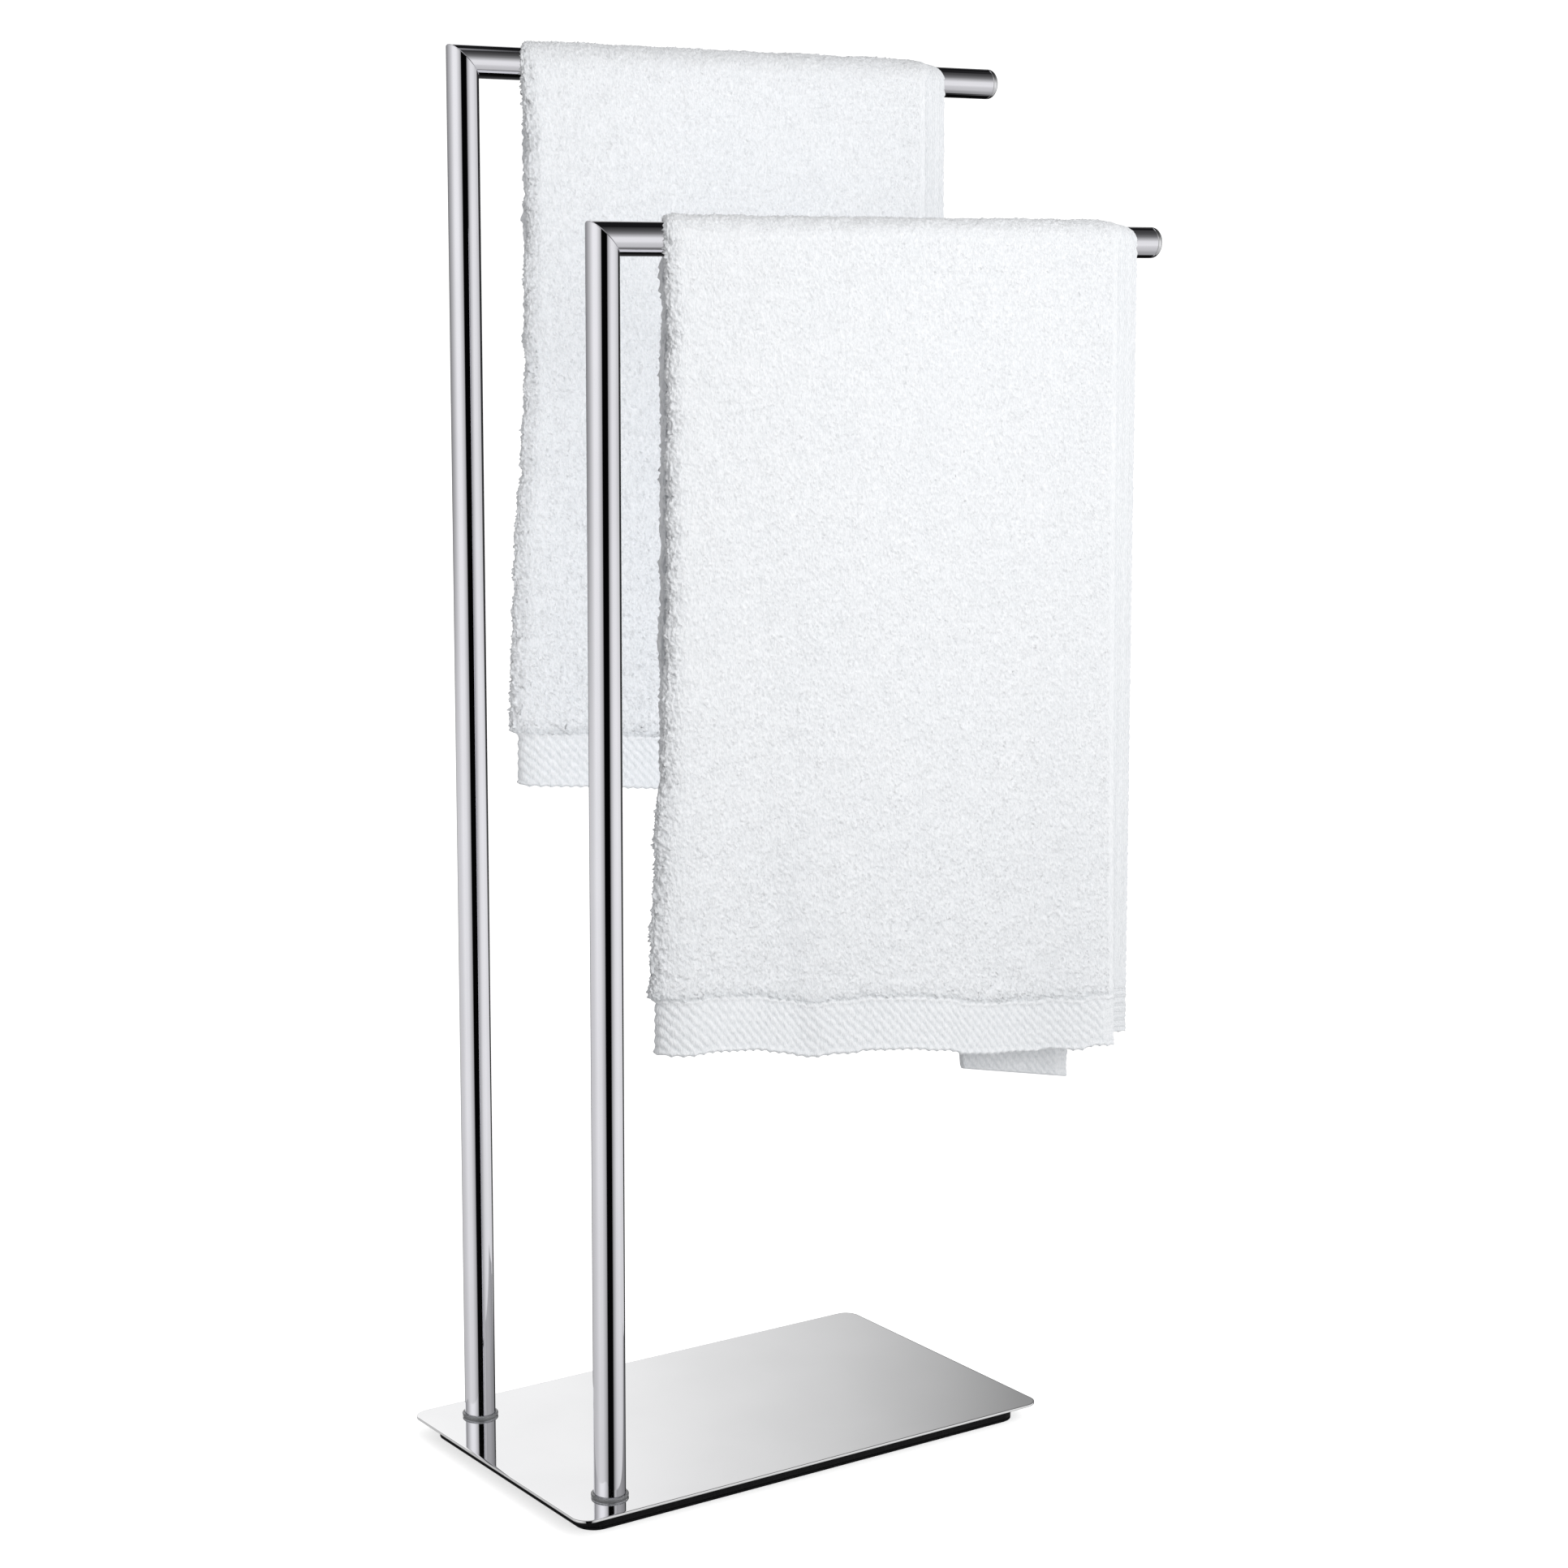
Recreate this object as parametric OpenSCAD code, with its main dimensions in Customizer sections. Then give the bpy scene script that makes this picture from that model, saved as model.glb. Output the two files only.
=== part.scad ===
// Free-standing towel stand: two mitred tube frames of different height on one weighted base,
// with a folded towel draped over each arm.
//
// The origin is the middle of the base's underside, on the floor. +X runs along the base's long side
// towards the free ends of the arms, +Y towards the taller frame, and +Z up.

/* [Frames] */
// Height of the top of the back arm above the floor
overall_h = 850; // [700:5:950]
// How much lower the front arm stands
arm_step = 102; // [60:1:140]
// Back arm, from its post's axis to the crown of its end cap
back_reach = 393; // [360:1:420]
// Front arm, from its post's axis to the crown of its end cap
front_reach = 401; // [365:1:420]
// Distance from one post's axis to the other's
post_spacing = 155; // [120:1:160]
// Posts' axes to the base's short edge
post_inset = 35; // [25:1:45]

/* [Tube] */
// Outside diameter of the tube
tube_d = 19; // [18:0.5:22]
// Wall of the tube
tube_wall = 1.2; // [1:0.1:1.5]

/* [Base] */
// Length of the top plate
base_l = 340; // [320:5:380]
// Width of the top plate
base_w = 207; // [200:1:240]
// Thickness of the polished top plate
plate_t = 1.5; // [1:0.1:2]
// Corner radius of the top plate
plate_corner_r = 10; // [6:1:20]
// Thickness of the adhesive sheet between the plate and the weight
adhesive_t = 0.5; // [0.3:0.1:0.8]
// Thickness of the steel weight
weight_t = 8.5; // [8:0.5:14]
// How far the weight's sides stand in from the plate's
weight_inset = 10; // [6:0.5:14]
// Corner radius of the weight
weight_corner_r = 12; // [8:1:20]
// Thickness of the anti-slip pad under the weight
pad_t = 1.5; // [1:0.1:2]

/* [Arm caps] */
// Length of an arm cap that shows outside its tube
cap_shown = 4.5; // [4:0.5:6]
// Radius of the cap's rounded rim
cap_rim_r = 3; // [2:0.25:3.5]
// How far the crown of the cap stands above its rim
cap_crown = 0.8; // [0.4:0.1:1.2]
// Length of the spigot inside the tube
cap_spigot = 14; // [10:1:20]

/* [Foot fixing] */
// Outside diameter of the seat ring round the foot of a post
ring_d = 22.4; // [22:0.1:26]
// Height of the seat ring above the plate
ring_h = 2.2; // [1.8:0.1:3]
// Thickness of the ring's floor, which the post stands on
ring_floor = 0.9; // [0.6:0.1:1.2]
// Length of the threaded plug in the foot of a post
plug_l = 24; // [18:1:30]
// Radius of the post screw's shank
screw_r = 4; // [3:0.5:4]
// How far the screw reaches into the plug
screw_grip = 16; // [10:1:18]
// Radius of the screw's low head
head_r = 6.5; // [6:0.5:6.5]
// Height of the screw's low head
head_h = 4.8; // [4:0.1:5]
// Key size of the hexagon socket, across its flats
socket_af = 5; // [4:0.5:5]
// Outside radius of the washer under the head
washer_r = 8; // [7.5:0.5:8.5]
// Thickness of the washer
washer_t = 1.6; // [1:0.1:1.6]

/* [Towels] */
// Thickness of a folded towel, both layers
towel_t = 5; // [4:0.5:7]
// Width of the front towel, folded
front_towel_w = 349; // [300:1:350]
// Width of the back towel, folded
back_towel_w = 316; // [280:1:320]
// From the post's axis to the front towel's folded edge
front_towel_start = 27; // [20:1:32]
// From the post's axis to the back towel's folded edge
back_towel_start = 29; // [20:1:32]
// Front drop of the front towel at its folded edge, below the arm's axis
front_towel_drop = 457; // [400:1:480]
// Front drop of the back towel at its folded edge, below the arm's axis
back_towel_drop = 427; // [380:1:450]
// Slope of a towel's front hem, which hangs lower towards the arm's free end
hem_slope = 0.132; // [0:0.001:0.15]
// Slope of a towel's back hem
back_hem_slope = 0.15; // [0:0.01:0.2]
// How much shorter the back drop is than the front one, at the folded edge
back_drop_less = 12; // [5:1:60]
// How far a towel spreads at its hem on the folded side
spread_folded = 7; // [0:0.5:10]
// How far a towel spreads at its hem on the open side
spread_open = 4; // [0:0.5:6]
// How far the back drop stands in from the front one on the folded side
back_inset_folded = 19; // [0:1:30]
// How far the back drop stands in from the front one on the open side
back_inset_open = 22; // [0:1:30]
// Width of the corner of the front towel's back drop that hangs lower
corner_w = 82; // [60:1:120]
// How much lower that corner hangs than the rest of the back hem
corner_drop = 34; // [0:1:40]

/* [Hidden] */

tube_r = tube_d / 2;
bore_r = tube_r - tube_wall;
weight_z = pad_t;
adhesive_z = weight_z + weight_t;
plate_z = adhesive_z + adhesive_t;
plate_top = plate_z + plate_t;
post_x = post_inset - base_l / 2;
back_y = post_spacing / 2;
front_y = -post_spacing / 2;
back_axis_z = overall_h - tube_r;
front_axis_z = overall_h - arm_step - tube_r;
weight_l = base_l - 2 * weight_inset;
weight_w = base_w - 2 * weight_inset;

clear = 0.15;                         // play of a glued or screwed part in its seat
post_z = plate_top + ring_floor;      // underside of a post's tube
hole_r = screw_r + 0.5;               // clearance hole for a post screw
recess_r = washer_r + 1.5;            // recess for the washer and the head
recess_h = washer_t + head_h + 0.2;
rim_bead_r = 0.7;                     // rounding of the seat ring's outer edge
towel_play = 0.3;                     // between a towel and its arm
cut = 1;                              // how far a cutting solid runs past the face that it cuts
round_fn = 96;

// A flat slab with round corners, standing on z.
module slab(length, width, height, corner_r, z) {
    translate([0, 0, z]) linear_extrude(height) {
        square([length - 2 * corner_r, width], center = true);
        square([length, width - 2 * corner_r], center = true);
        for (sx = [-1, 1], sy = [-1, 1])
            translate([sx * (length / 2 - corner_r), sy * (width / 2 - corner_r)])
                circle(r = corner_r, $fn = round_fn);
    }
}

// Round holes at both posts' axes, from z up through a height.
module post_holes(r, z, height) {
    for (y = [back_y, front_y])
        translate([post_x, y, z]) cylinder(r = r, h = height, $fn = round_fn);
}

module anti_slip_pad() {
    color([0.06, 0.06, 0.065])
        difference() {
            slab(weight_l, weight_w, pad_t, weight_corner_r, 0);
            post_holes(recess_r, -cut, pad_t + 2 * cut);
        }
}

module base_weight() {
    color([0.03, 0.03, 0.035])
        difference() {
            slab(weight_l, weight_w, weight_t, weight_corner_r, weight_z);
            post_holes(hole_r, weight_z - cut, weight_t + 2 * cut);
            post_holes(recess_r, weight_z - cut, recess_h + cut);
        }
}

module adhesive_sheet() {
    color([0.75, 0.75, 0.7])
        difference() {
            slab(weight_l, weight_w, adhesive_t, weight_corner_r, adhesive_z);
            post_holes(recess_r, adhesive_z - cut, adhesive_t + 2 * cut);
        }
}

module base_plate() {
    color([0.85, 0.86, 0.88])
        difference() {
            slab(base_l, base_w, plate_t, plate_corner_r, plate_z);
            post_holes(hole_r, plate_z - cut, plate_t + 2 * cut);
        }
}

// One side of the mitre that halves the corner of post and arm: 1 for the arm's side, -1 for the post's.
module mitre_side(y, axis_z, side) {
    reach = 4 * tube_d;
    translate([post_x, y, axis_z]) rotate([0, 45, 0])
        translate([-reach, -reach, side > 0 ? 0 : -reach]) cube([2 * reach, 2 * reach, reach]);
}

// An upright tube from the seat ring up to the mitre.
module post(y, axis_z) {
    height = axis_z + tube_d - post_z;
    color([0.8, 0.8, 0.83])
        difference() {
            translate([post_x, y, post_z]) cylinder(r = tube_r, h = height, $fn = round_fn);
            translate([post_x, y, post_z - cut]) cylinder(r = bore_r, h = height + 2 * cut, $fn = round_fn);
            mitre_side(y, axis_z, 1);
        }
}

// A level tube from the mitre out to the cap.
module arm(y, axis_z, reach) {
    length = reach - cap_shown - cap_crown + tube_d;
    color([0.8, 0.8, 0.83])
        difference() {
            translate([post_x - tube_d, y, axis_z]) rotate([0, 90, 0])
                difference() {
                    cylinder(r = tube_r, h = length, $fn = round_fn);
                    translate([0, 0, -cut]) cylinder(r = bore_r, h = length + 2 * cut, $fn = round_fn);
                }
            mitre_side(y, axis_z, -1);
        }
}

// A cap's outline, from the crown back to the spigot's end: a shallow crown, a round rim and a spigot.
function cap_outline() = let(
        rim_steps = 8,
        flat_r = tube_r - cap_rim_r,
        spigot_r = bore_r - clear,
        back = cap_shown + cap_spigot
    ) concat(
        [[0, -cap_crown]],
        [for (k = [1 : 4]) [flat_r * k / 4, -cap_crown * (1 - pow(k / 4, 2))]],
        [for (k = [1 : rim_steps]) let(a = 90 * k / rim_steps)
            [flat_r + cap_rim_r * sin(a), cap_rim_r * (1 - cos(a))]],
        [[tube_r, cap_shown], [spigot_r, cap_shown], [spigot_r, back - 1], [spigot_r - 1, back], [0, back]]
    );

module arm_cap(y, axis_z, reach) {
    color([0.78, 0.78, 0.81])
        translate([post_x + reach - cap_crown, y, axis_z]) rotate([0, -90, 0])
            rotate_extrude($fn = round_fn) polygon(cap_outline());
}

// The ring that a post stands in: a floor under the tube's end, and a low lip with a round edge.
module seat_ring(y) {
    lip_r = tube_r + clear;
    outer_r = ring_d / 2;
    color([0.72, 0.73, 0.76, 0.6])
        translate([post_x, y, plate_top])
            rotate_extrude($fn = round_fn)
                polygon(concat(
                    [[bore_r, 0], [outer_r, 0], [outer_r, ring_h - rim_bead_r]],
                    [for (a = [30 : 30 : 90])
                        [outer_r - rim_bead_r * (1 - cos(a)), ring_h - rim_bead_r * (1 - sin(a))]],
                    [[lip_r, ring_h], [lip_r, ring_floor], [bore_r, ring_floor]]
                ));
}

// The plug welded in a post's foot. It stands on the plate, and the post screw threads into it.
module post_plug(y) {
    color([0.55, 0.55, 0.56])
        translate([post_x, y, plate_top])
            difference() {
                cylinder(r = bore_r - clear, h = plug_l, $fn = round_fn);
                translate([0, 0, -cut]) cylinder(r = screw_r, h = screw_grip + 2 + cut, $fn = round_fn);
            }
}

// A low-headed screw with a hexagon socket, from under the base up into a post's plug.
module post_screw(y) {
    head_z = weight_z + recess_h - washer_t - head_h;
    socket_r = socket_af / 2 / cos(30);
    color([0.35, 0.35, 0.36])
        translate([post_x, y, head_z])
            difference() {
                union() {
                    cylinder(r = head_r, h = head_h, $fn = round_fn);
                    cylinder(r = screw_r - 0.05, h = plate_top + screw_grip - head_z, $fn = round_fn);
                }
                translate([0, 0, -cut]) cylinder(r = socket_r, h = head_h / 2 + cut, $fn = 6);
            }
}

module screw_washer(y) {
    color([0.6, 0.6, 0.6])
        translate([post_x, y, weight_z + recess_h - washer_t])
            difference() {
                cylinder(r = washer_r, h = washer_t, $fn = round_fn);
                translate([0, 0, -cut]) cylinder(r = screw_r + 0.2, h = washer_t + 2 * cut, $fn = round_fn);
            }
}

// A flat panel of folded cloth that hangs behind the plane y. Its outline is in x and height over the axis.
module towel_panel(y, axis_z, outline) {
    translate([0, y + towel_t, axis_z]) rotate([90, 0, 0]) linear_extrude(towel_t) polygon(outline);
}

// A folded towel over an arm: a front drop, the half round over the tube, and a narrower back drop.
// A corner of the back drop hangs lower by low_corner.
module towel(y, axis_z, start, width, drop, low_corner) {
    x0 = post_x + start;
    x1 = x0 + width;
    back_x0 = x0 + back_inset_folded;
    back_x1 = x1 - back_inset_open;
    corner_x = back_x1 - corner_w;
    inner_r = tube_r + towel_play;
    outer_r = inner_r + towel_t;
    front_hem = -drop;
    front_fall = hem_slope * (width + spread_folded + spread_open);
    back_hem = back_drop_less - drop;
    back_step = back_hem - back_hem_slope * (corner_x - back_x0);
    back_end = back_hem - back_hem_slope * (back_x1 - back_x0);
    color([0.93, 0.95, 0.96])
        union() {
            towel_panel(y - outer_r, axis_z, [
                [x0, 0],
                [x0 - spread_folded, front_hem],
                [x1 + spread_open, front_hem - front_fall],
                [x1, 0],
            ]);
            towel_panel(y + inner_r, axis_z, concat(
                [[back_x0, 0], [back_x0, back_hem], [corner_x, back_step]],
                low_corner > 0 ? [[corner_x, back_step - low_corner]] : [],
                [[back_x1, back_end - low_corner], [back_x1, 0]]
            ));
            intersection() {
                translate([x0, y, axis_z]) difference() {
                    rotate([0, 90, 0]) cylinder(r = outer_r, h = width, $fn = round_fn);
                    translate([-cut, 0, 0]) rotate([0, 90, 0])
                        cylinder(r = inner_r, h = width + 2 * cut, $fn = round_fn);
                    translate([-cut, -2 * outer_r, -2 * outer_r])
                        cube([width + 2 * cut, 4 * outer_r, 2 * outer_r]);
                }
                translate([0, y, axis_z - cut]) linear_extrude(2 * outer_r)
                    polygon([
                        [x0, -2 * outer_r],
                        [x0, -inner_r],
                        [back_x0, inner_r],
                        [back_x0, 2 * outer_r],
                        [back_x1, 2 * outer_r],
                        [back_x1, inner_r],
                        [x1, 0],
                        [x1, -2 * outer_r],
                    ]);
            }
        }
}

anti_slip_pad();
base_weight();
adhesive_sheet();
base_plate();
post(back_y, back_axis_z);  // back_post
arm(back_y, back_axis_z, back_reach);  // back_arm
arm_cap(back_y, back_axis_z, back_reach);  // back_arm_cap
seat_ring(back_y);  // back_seat_ring
post_plug(back_y);  // back_post_plug
post_screw(back_y);  // back_post_screw
screw_washer(back_y);  // back_screw_washer
post(front_y, front_axis_z);  // front_post
arm(front_y, front_axis_z, front_reach);  // front_arm
arm_cap(front_y, front_axis_z, front_reach);  // front_arm_cap
seat_ring(front_y);  // front_seat_ring
post_plug(front_y);  // front_post_plug
post_screw(front_y);  // front_post_screw
screw_washer(front_y);  // front_screw_washer
towel(back_y, back_axis_z, back_towel_start, back_towel_w, back_towel_drop, 0);  // back_towel
towel(front_y, front_axis_z, front_towel_start, front_towel_w, front_towel_drop, corner_drop);  // front_towel
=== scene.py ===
"""Looks of a free-standing towel stand: two mitred chrome frames on a weighted, mirror-polished base,
with a white terry towel, folded in half lengthwise, draped over each arm.

Every object is in metres, in the row frame: +X along the base towards the arms' free ends, +Y towards
the taller frame, +Z up. Sizes that are easier to read in millimetres are multiplied by MM.
"""
import math

import bpy
import numpy as np
from mathutils import Matrix, Vector


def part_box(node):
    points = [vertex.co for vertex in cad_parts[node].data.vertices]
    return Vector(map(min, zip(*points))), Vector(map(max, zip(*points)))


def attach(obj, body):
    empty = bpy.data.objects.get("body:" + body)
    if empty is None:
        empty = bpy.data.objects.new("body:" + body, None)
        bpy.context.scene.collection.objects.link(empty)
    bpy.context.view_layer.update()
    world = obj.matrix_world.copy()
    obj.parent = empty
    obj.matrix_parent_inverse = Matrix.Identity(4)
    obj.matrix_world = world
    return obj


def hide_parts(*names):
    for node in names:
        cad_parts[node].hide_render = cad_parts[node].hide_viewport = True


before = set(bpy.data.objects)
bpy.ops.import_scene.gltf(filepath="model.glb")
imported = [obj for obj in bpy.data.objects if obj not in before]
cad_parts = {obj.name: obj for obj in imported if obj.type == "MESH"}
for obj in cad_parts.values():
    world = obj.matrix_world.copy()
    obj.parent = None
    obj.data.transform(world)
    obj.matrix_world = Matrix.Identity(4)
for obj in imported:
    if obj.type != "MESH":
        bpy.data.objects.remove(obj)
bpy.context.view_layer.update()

MM = 0.001
SEGMENTS = 160          # round a tube
SMOOTH_ANGLE = math.radians(35)

# ---------------- what the CAD says


def centre(node):
    lo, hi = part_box(node)
    return (lo + hi) / 2


def size(node):
    lo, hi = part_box(node)
    return hi - lo


TUBE_R = size("front_post").x / 2
TUBE_WALL = 1.2 * MM
BORE_R = TUBE_R - TUBE_WALL
FRAMES = ("back", "front")
POST = {f: centre(f + "_post") for f in FRAMES}
ARM = {f: centre(f + "_arm") for f in FRAMES}
ARM_TIP = {f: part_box(f + "_arm_cap")[1].x for f in FRAMES}
ARM_END = {f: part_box(f + "_arm")[1].x for f in FRAMES}


# ---------------- camera, lights and floor

KEY_POWER = 2.75
FILL_POWER = 0.47
FILL_WIDER = 0.15       # how far the fill reaches beyond the front towel, on the left
FLOOR_GLOW = 0.6
CAMERA_AT = Vector((-1.0274, -1.5381, 0.7298))
CAMERA_YAW = math.radians(34.791)      # from +Y towards +X
CAMERA_PITCH = math.radians(9.75)      # below the horizon
CAMERA_ROLL = math.radians(0.233)
CAMERA_LENS = 70.62                    # both in millimetres
CAMERA_SENSOR = 36


def make_camera():
    """The camera stands at CAMERA_AT and looks along its yaw, pitch and roll."""
    ahead = Vector((
        math.sin(CAMERA_YAW) * math.cos(CAMERA_PITCH),
        math.cos(CAMERA_YAW) * math.cos(CAMERA_PITCH),
        -math.sin(CAMERA_PITCH),
    ))
    right = Vector((math.cos(CAMERA_YAW), -math.sin(CAMERA_YAW), 0))
    up = right.cross(ahead)
    c, s = math.cos(CAMERA_ROLL), math.sin(CAMERA_ROLL)
    right, up = right * c + up * s, up * c - right * s
    data = bpy.data.cameras.new("camera")
    data.lens = CAMERA_LENS
    data.sensor_width = CAMERA_SENSOR
    data.clip_start, data.clip_end = 0.05, 60
    camera = bpy.data.objects.new("camera", data)
    bpy.context.scene.collection.objects.link(camera)
    turned_to = Matrix((right, up, -ahead)).transposed().to_4x4()
    camera.matrix_world = Matrix.Translation(CAMERA_AT) @ turned_to
    bpy.context.scene.camera = camera


class Nodes:
    """Short calls for building a node tree. A value that isn't a socket is set on the input itself."""

    def __init__(self, tree):
        self.tree = tree

    def add(self, kind, inputs=None, **properties):
        node = self.tree.nodes.new(kind)
        for name, value in properties.items():
            setattr(node, name, value)
        for name, value in (inputs or {}).items():
            self.put(node.inputs[name], value)
        return node

    def put(self, socket, value):
        if isinstance(value, bpy.types.NodeSocket):
            self.tree.links.new(value, socket)
        else:
            socket.default_value = value

    def math(self, operation, *values):
        node = self.add("ShaderNodeMath", operation=operation)
        for i, value in enumerate(values):
            self.put(node.inputs[i], value)
        return node.outputs[0]

    def times(self, a, b):
        return self.math("MULTIPLY", a, b)

    def between(self, value, from_lo, from_hi, to_lo=0.0, to_hi=1.0):
        """value, eased from one range to another."""
        node = self.add("ShaderNodeMapRange", interpolation_type="SMOOTHSTEP")
        for i, v in enumerate((value, from_lo, from_hi, to_lo, to_hi)):
            self.put(node.inputs[i], v)
        return node.outputs[0]

    def straight(self, value, from_lo, from_hi):
        """value, from one range to 0 to 1."""
        node = self.add("ShaderNodeMapRange", {0: value, 1: from_lo, 2: from_hi})
        return node.outputs[0]

    def multiply(self, a, b):
        node = self.add("ShaderNodeMix", {0: 1.0}, data_type="RGBA", blend_type="MULTIPLY")
        self.put(node.inputs[6], a)
        self.put(node.inputs[7], b)
        return node.outputs[2]

    def mix(self, factor, a, b):
        node = self.add("ShaderNodeMix", data_type="RGBA")
        self.put(node.inputs[0], factor)
        self.put(node.inputs[6], a)
        self.put(node.inputs[7], b)
        return node.outputs[2]

    def ramp(self, value, stops, interpolation="LINEAR"):
        """stops: (position, grey)."""
        node = self.add("ShaderNodeValToRGB", {0: value})
        ramp = node.color_ramp
        ramp.interpolation = interpolation
        while len(ramp.elements) < len(stops):
            ramp.elements.new(0.5)
        for element, (position, grey) in zip(ramp.elements, stops):
            element.position = position
            element.color = (grey, grey, grey, 1)
        return node.outputs[0]


def linear(grey):
    """The scene-linear value of a display grey from 0 to 255."""
    g = grey / 255
    return g / 12.92 if g <= 0.04045 else ((g + 0.055) / 1.055) ** 2.4


# What the polished parts mirror, all round at eye height: (degrees to the right of the camera, grey).
STUDIO_ROUND = [
    (-180, 50), (-158, 110), (-146, 206), (-130, 214), (-95, 226), (-65, 250), (-38, 243), (-20, 208),
    (-9, 170), (-5, 4), (32, 4), (36, 150), (44, 196), (62, 243), (86, 252), (112, 242), (136, 236),
    (144, 60), (180, 40),
]
CARD_FROM, CARD_TO = -10, 40        # the stops between these are the black card's, beside the camera
CARD_TOP = 28                       # degrees that the card rises above eye height
# How the walls darken from eye height, 0, up to FADE_OUT degrees or down to it, 1: (share, brightness).
FADE_OUT = 60
RISE = [(0, 1), (0.12, 0.92), (0.3, 0.58), (0.5, 0.25), (0.72, 0.11), (0.92, 0.05), (1, 0.03)]
RISE_BY_CARD = [(0, 1), (0.45, 1), (0.7, 0.35), (1, 0.1)]
FALL = [(0, 1), (0.3, 0.87), (0.5, 0.74), (0.72, 0.56), (0.9, 0.34), (1, 0.2)]
# The wall that the base plate mirrors: (heading in degrees from +Y towards +X, brightness).
BACK_WALL = [
    (0, 0.97), (28, 0.97), (31, 0.93), (33, 0.81), (36, 0.64), (38, 0.47), (39.5, 0.31), (43, 0.2),
]
BACK_WALL_MIDDLE = 22.0
BACK_WALL_RANGE = 50
CORNER_BLACK = (0.002, 0.002, 0.002, 1)
DIM_BLACK = (0.02, 0.02, 0.022, 1)
CEILING = (0.72, 0.72, 0.74, 1)
CAMERA_WHITE = (1.15, 1.15, 1.15, 1)


def studio_walls(n, beside, height, low):
    """The walls all round, with the card beside the camera, darker towards the ceiling and the floor."""
    turn = n.math("DIVIDE", n.math("ADD", beside, 180), 360)
    stops = [((a + 180) / 360, linear(g)) for a, g in STUDIO_ROUND]
    no_card = [stop for stop, (a, g) in zip(stops, STUDIO_ROUND) if not CARD_FROM < a < CARD_TO]
    over_card = n.between(height, CARD_TOP, CARD_TOP + 2)
    walls = n.mix(over_card, n.ramp(turn, stops), n.ramp(turn, no_card))
    rise = n.ramp(n.straight(height, 0, FADE_OUT), RISE)
    rise_by_card = n.ramp(n.straight(height, 0, FADE_OUT), RISE_BY_CARD)
    rise = n.mix(n.between(beside, 42, 58), rise_by_card, rise)
    fall = n.ramp(n.straight(low, 0, FADE_OUT), FALL)
    return n.multiply(n.multiply(walls, rise), fall)


def dark_corners(n, heading, height, low):
    """Where the studio is black: high and low at the far right. They draw the black lines along the arms."""
    def patch(limit, angle, start, full):
        """1 up to the heading limit, and beyond start to full degrees above or below eye height."""
        return n.times(n.between(heading, limit + 6, limit), n.between(angle, start, full))

    high = n.math("MAXIMUM", patch(98, height, 49, 53), patch(70, height, 20, 26))
    deep = n.math("MAXIMUM", patch(86, low, 49, 53), patch(64, low, 24, 30))
    return n.times(n.between(heading, 36, 42), n.math("MAXIMUM", high, deep))


def dim_parts(n, beside, height, low):
    """How dim the studio is at eye height on the camera's left and right, and on the floor in front of it."""
    upper = n.between(height, -11, -3)
    left = n.times(n.between(beside, -45, -150), upper)
    right = n.times(n.between(beside, 40, 150), upper)
    near_floor = n.times(n.between(low, 15, 23), n.between(low, 40, 30))
    dim = n.math("ADD", n.times(left, 0.62), n.times(right, 0.4))
    return n.math("ADD", dim, n.times(near_floor, 0.1))


def cloth_surround(n, x, y, z):
    """The soft white light round cloth: dimmer on the left and from below."""
    side = n.math("ADD", n.times(x, 0.82), n.times(y, -0.57))
    light = n.times(n.between(side, -1.0, 0.4, 0.5, 0.84), n.between(z, 0.0, 1.0, 1.0, 0.85))
    light = n.times(light, n.between(z, -1.0, 0.0, 0.7, 1.0))
    light = n.math("MAXIMUM", light, n.between(y, 0.2, 0.9, 0.0, 0.72))
    return n.add("ShaderNodeCombineColor", {0: light, 1: light, 2: light}).outputs[0]


def make_world():
    """White to the camera and a soft white surround to cloth. Polished metal mirrors a studio: white walls, a
    black card beside the camera, and dark corners high and low at the far right."""
    world = bpy.data.worlds.new("studio")
    bpy.context.scene.world = world
    world.use_nodes = True
    n = Nodes(world.node_tree)
    n.tree.nodes.clear()
    way = n.add("ShaderNodeTexCoord").outputs["Generated"]
    x, y, z = n.add("ShaderNodeSeparateXYZ", {0: way}).outputs
    height = n.times(n.math("ARCSINE", z), 180 / math.pi)
    low = n.times(height, -1.0)
    # heading is from +Y towards +X; the camera stands at CAMERA_YAW + 180.
    heading = n.times(n.math("ARCTAN2", x, y), 180 / math.pi)
    beside = n.math("SUBTRACT", math.degrees(CAMERA_YAW) + 180, heading)
    beside = n.math("WRAP", beside, 180.0, -180.0)

    mirrored = studio_walls(n, beside, height, low)
    mirrored = n.mix(dark_corners(n, heading, height, low), mirrored, CORNER_BLACK)
    mirrored = n.mix(dim_parts(n, beside, height, low), mirrored, DIM_BLACK)
    # A white card behind the stand, above the view, that the base plate mirrors.
    off_middle = n.math("ABSOLUTE", n.math("SUBTRACT", heading, BACK_WALL_MIDDLE))
    card = n.times(n.between(off_middle, 34, 24), n.between(height, 10, 14))
    card = n.times(card, n.between(height, 34, 27))
    stops = [(h / BACK_WALL_RANGE, value) for h, value in BACK_WALL]
    mirrored = n.mix(card, mirrored, n.ramp(n.straight(heading, 0, BACK_WALL_RANGE), stops))
    # A pale ceiling, which only a view from above sees in the plate.
    mirrored = n.mix(n.between(height, 59, 64), mirrored, CEILING)

    path = n.add("ShaderNodeLightPath")
    colour = n.mix(path.outputs["Is Diffuse Ray"], mirrored, cloth_surround(n, x, y, z))
    colour = n.mix(path.outputs["Is Camera Ray"], colour, CAMERA_WHITE)
    background = n.add("ShaderNodeBackground", {"Color": colour})
    n.put(n.add("ShaderNodeOutputWorld").inputs["Surface"], background.outputs[0])


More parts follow.
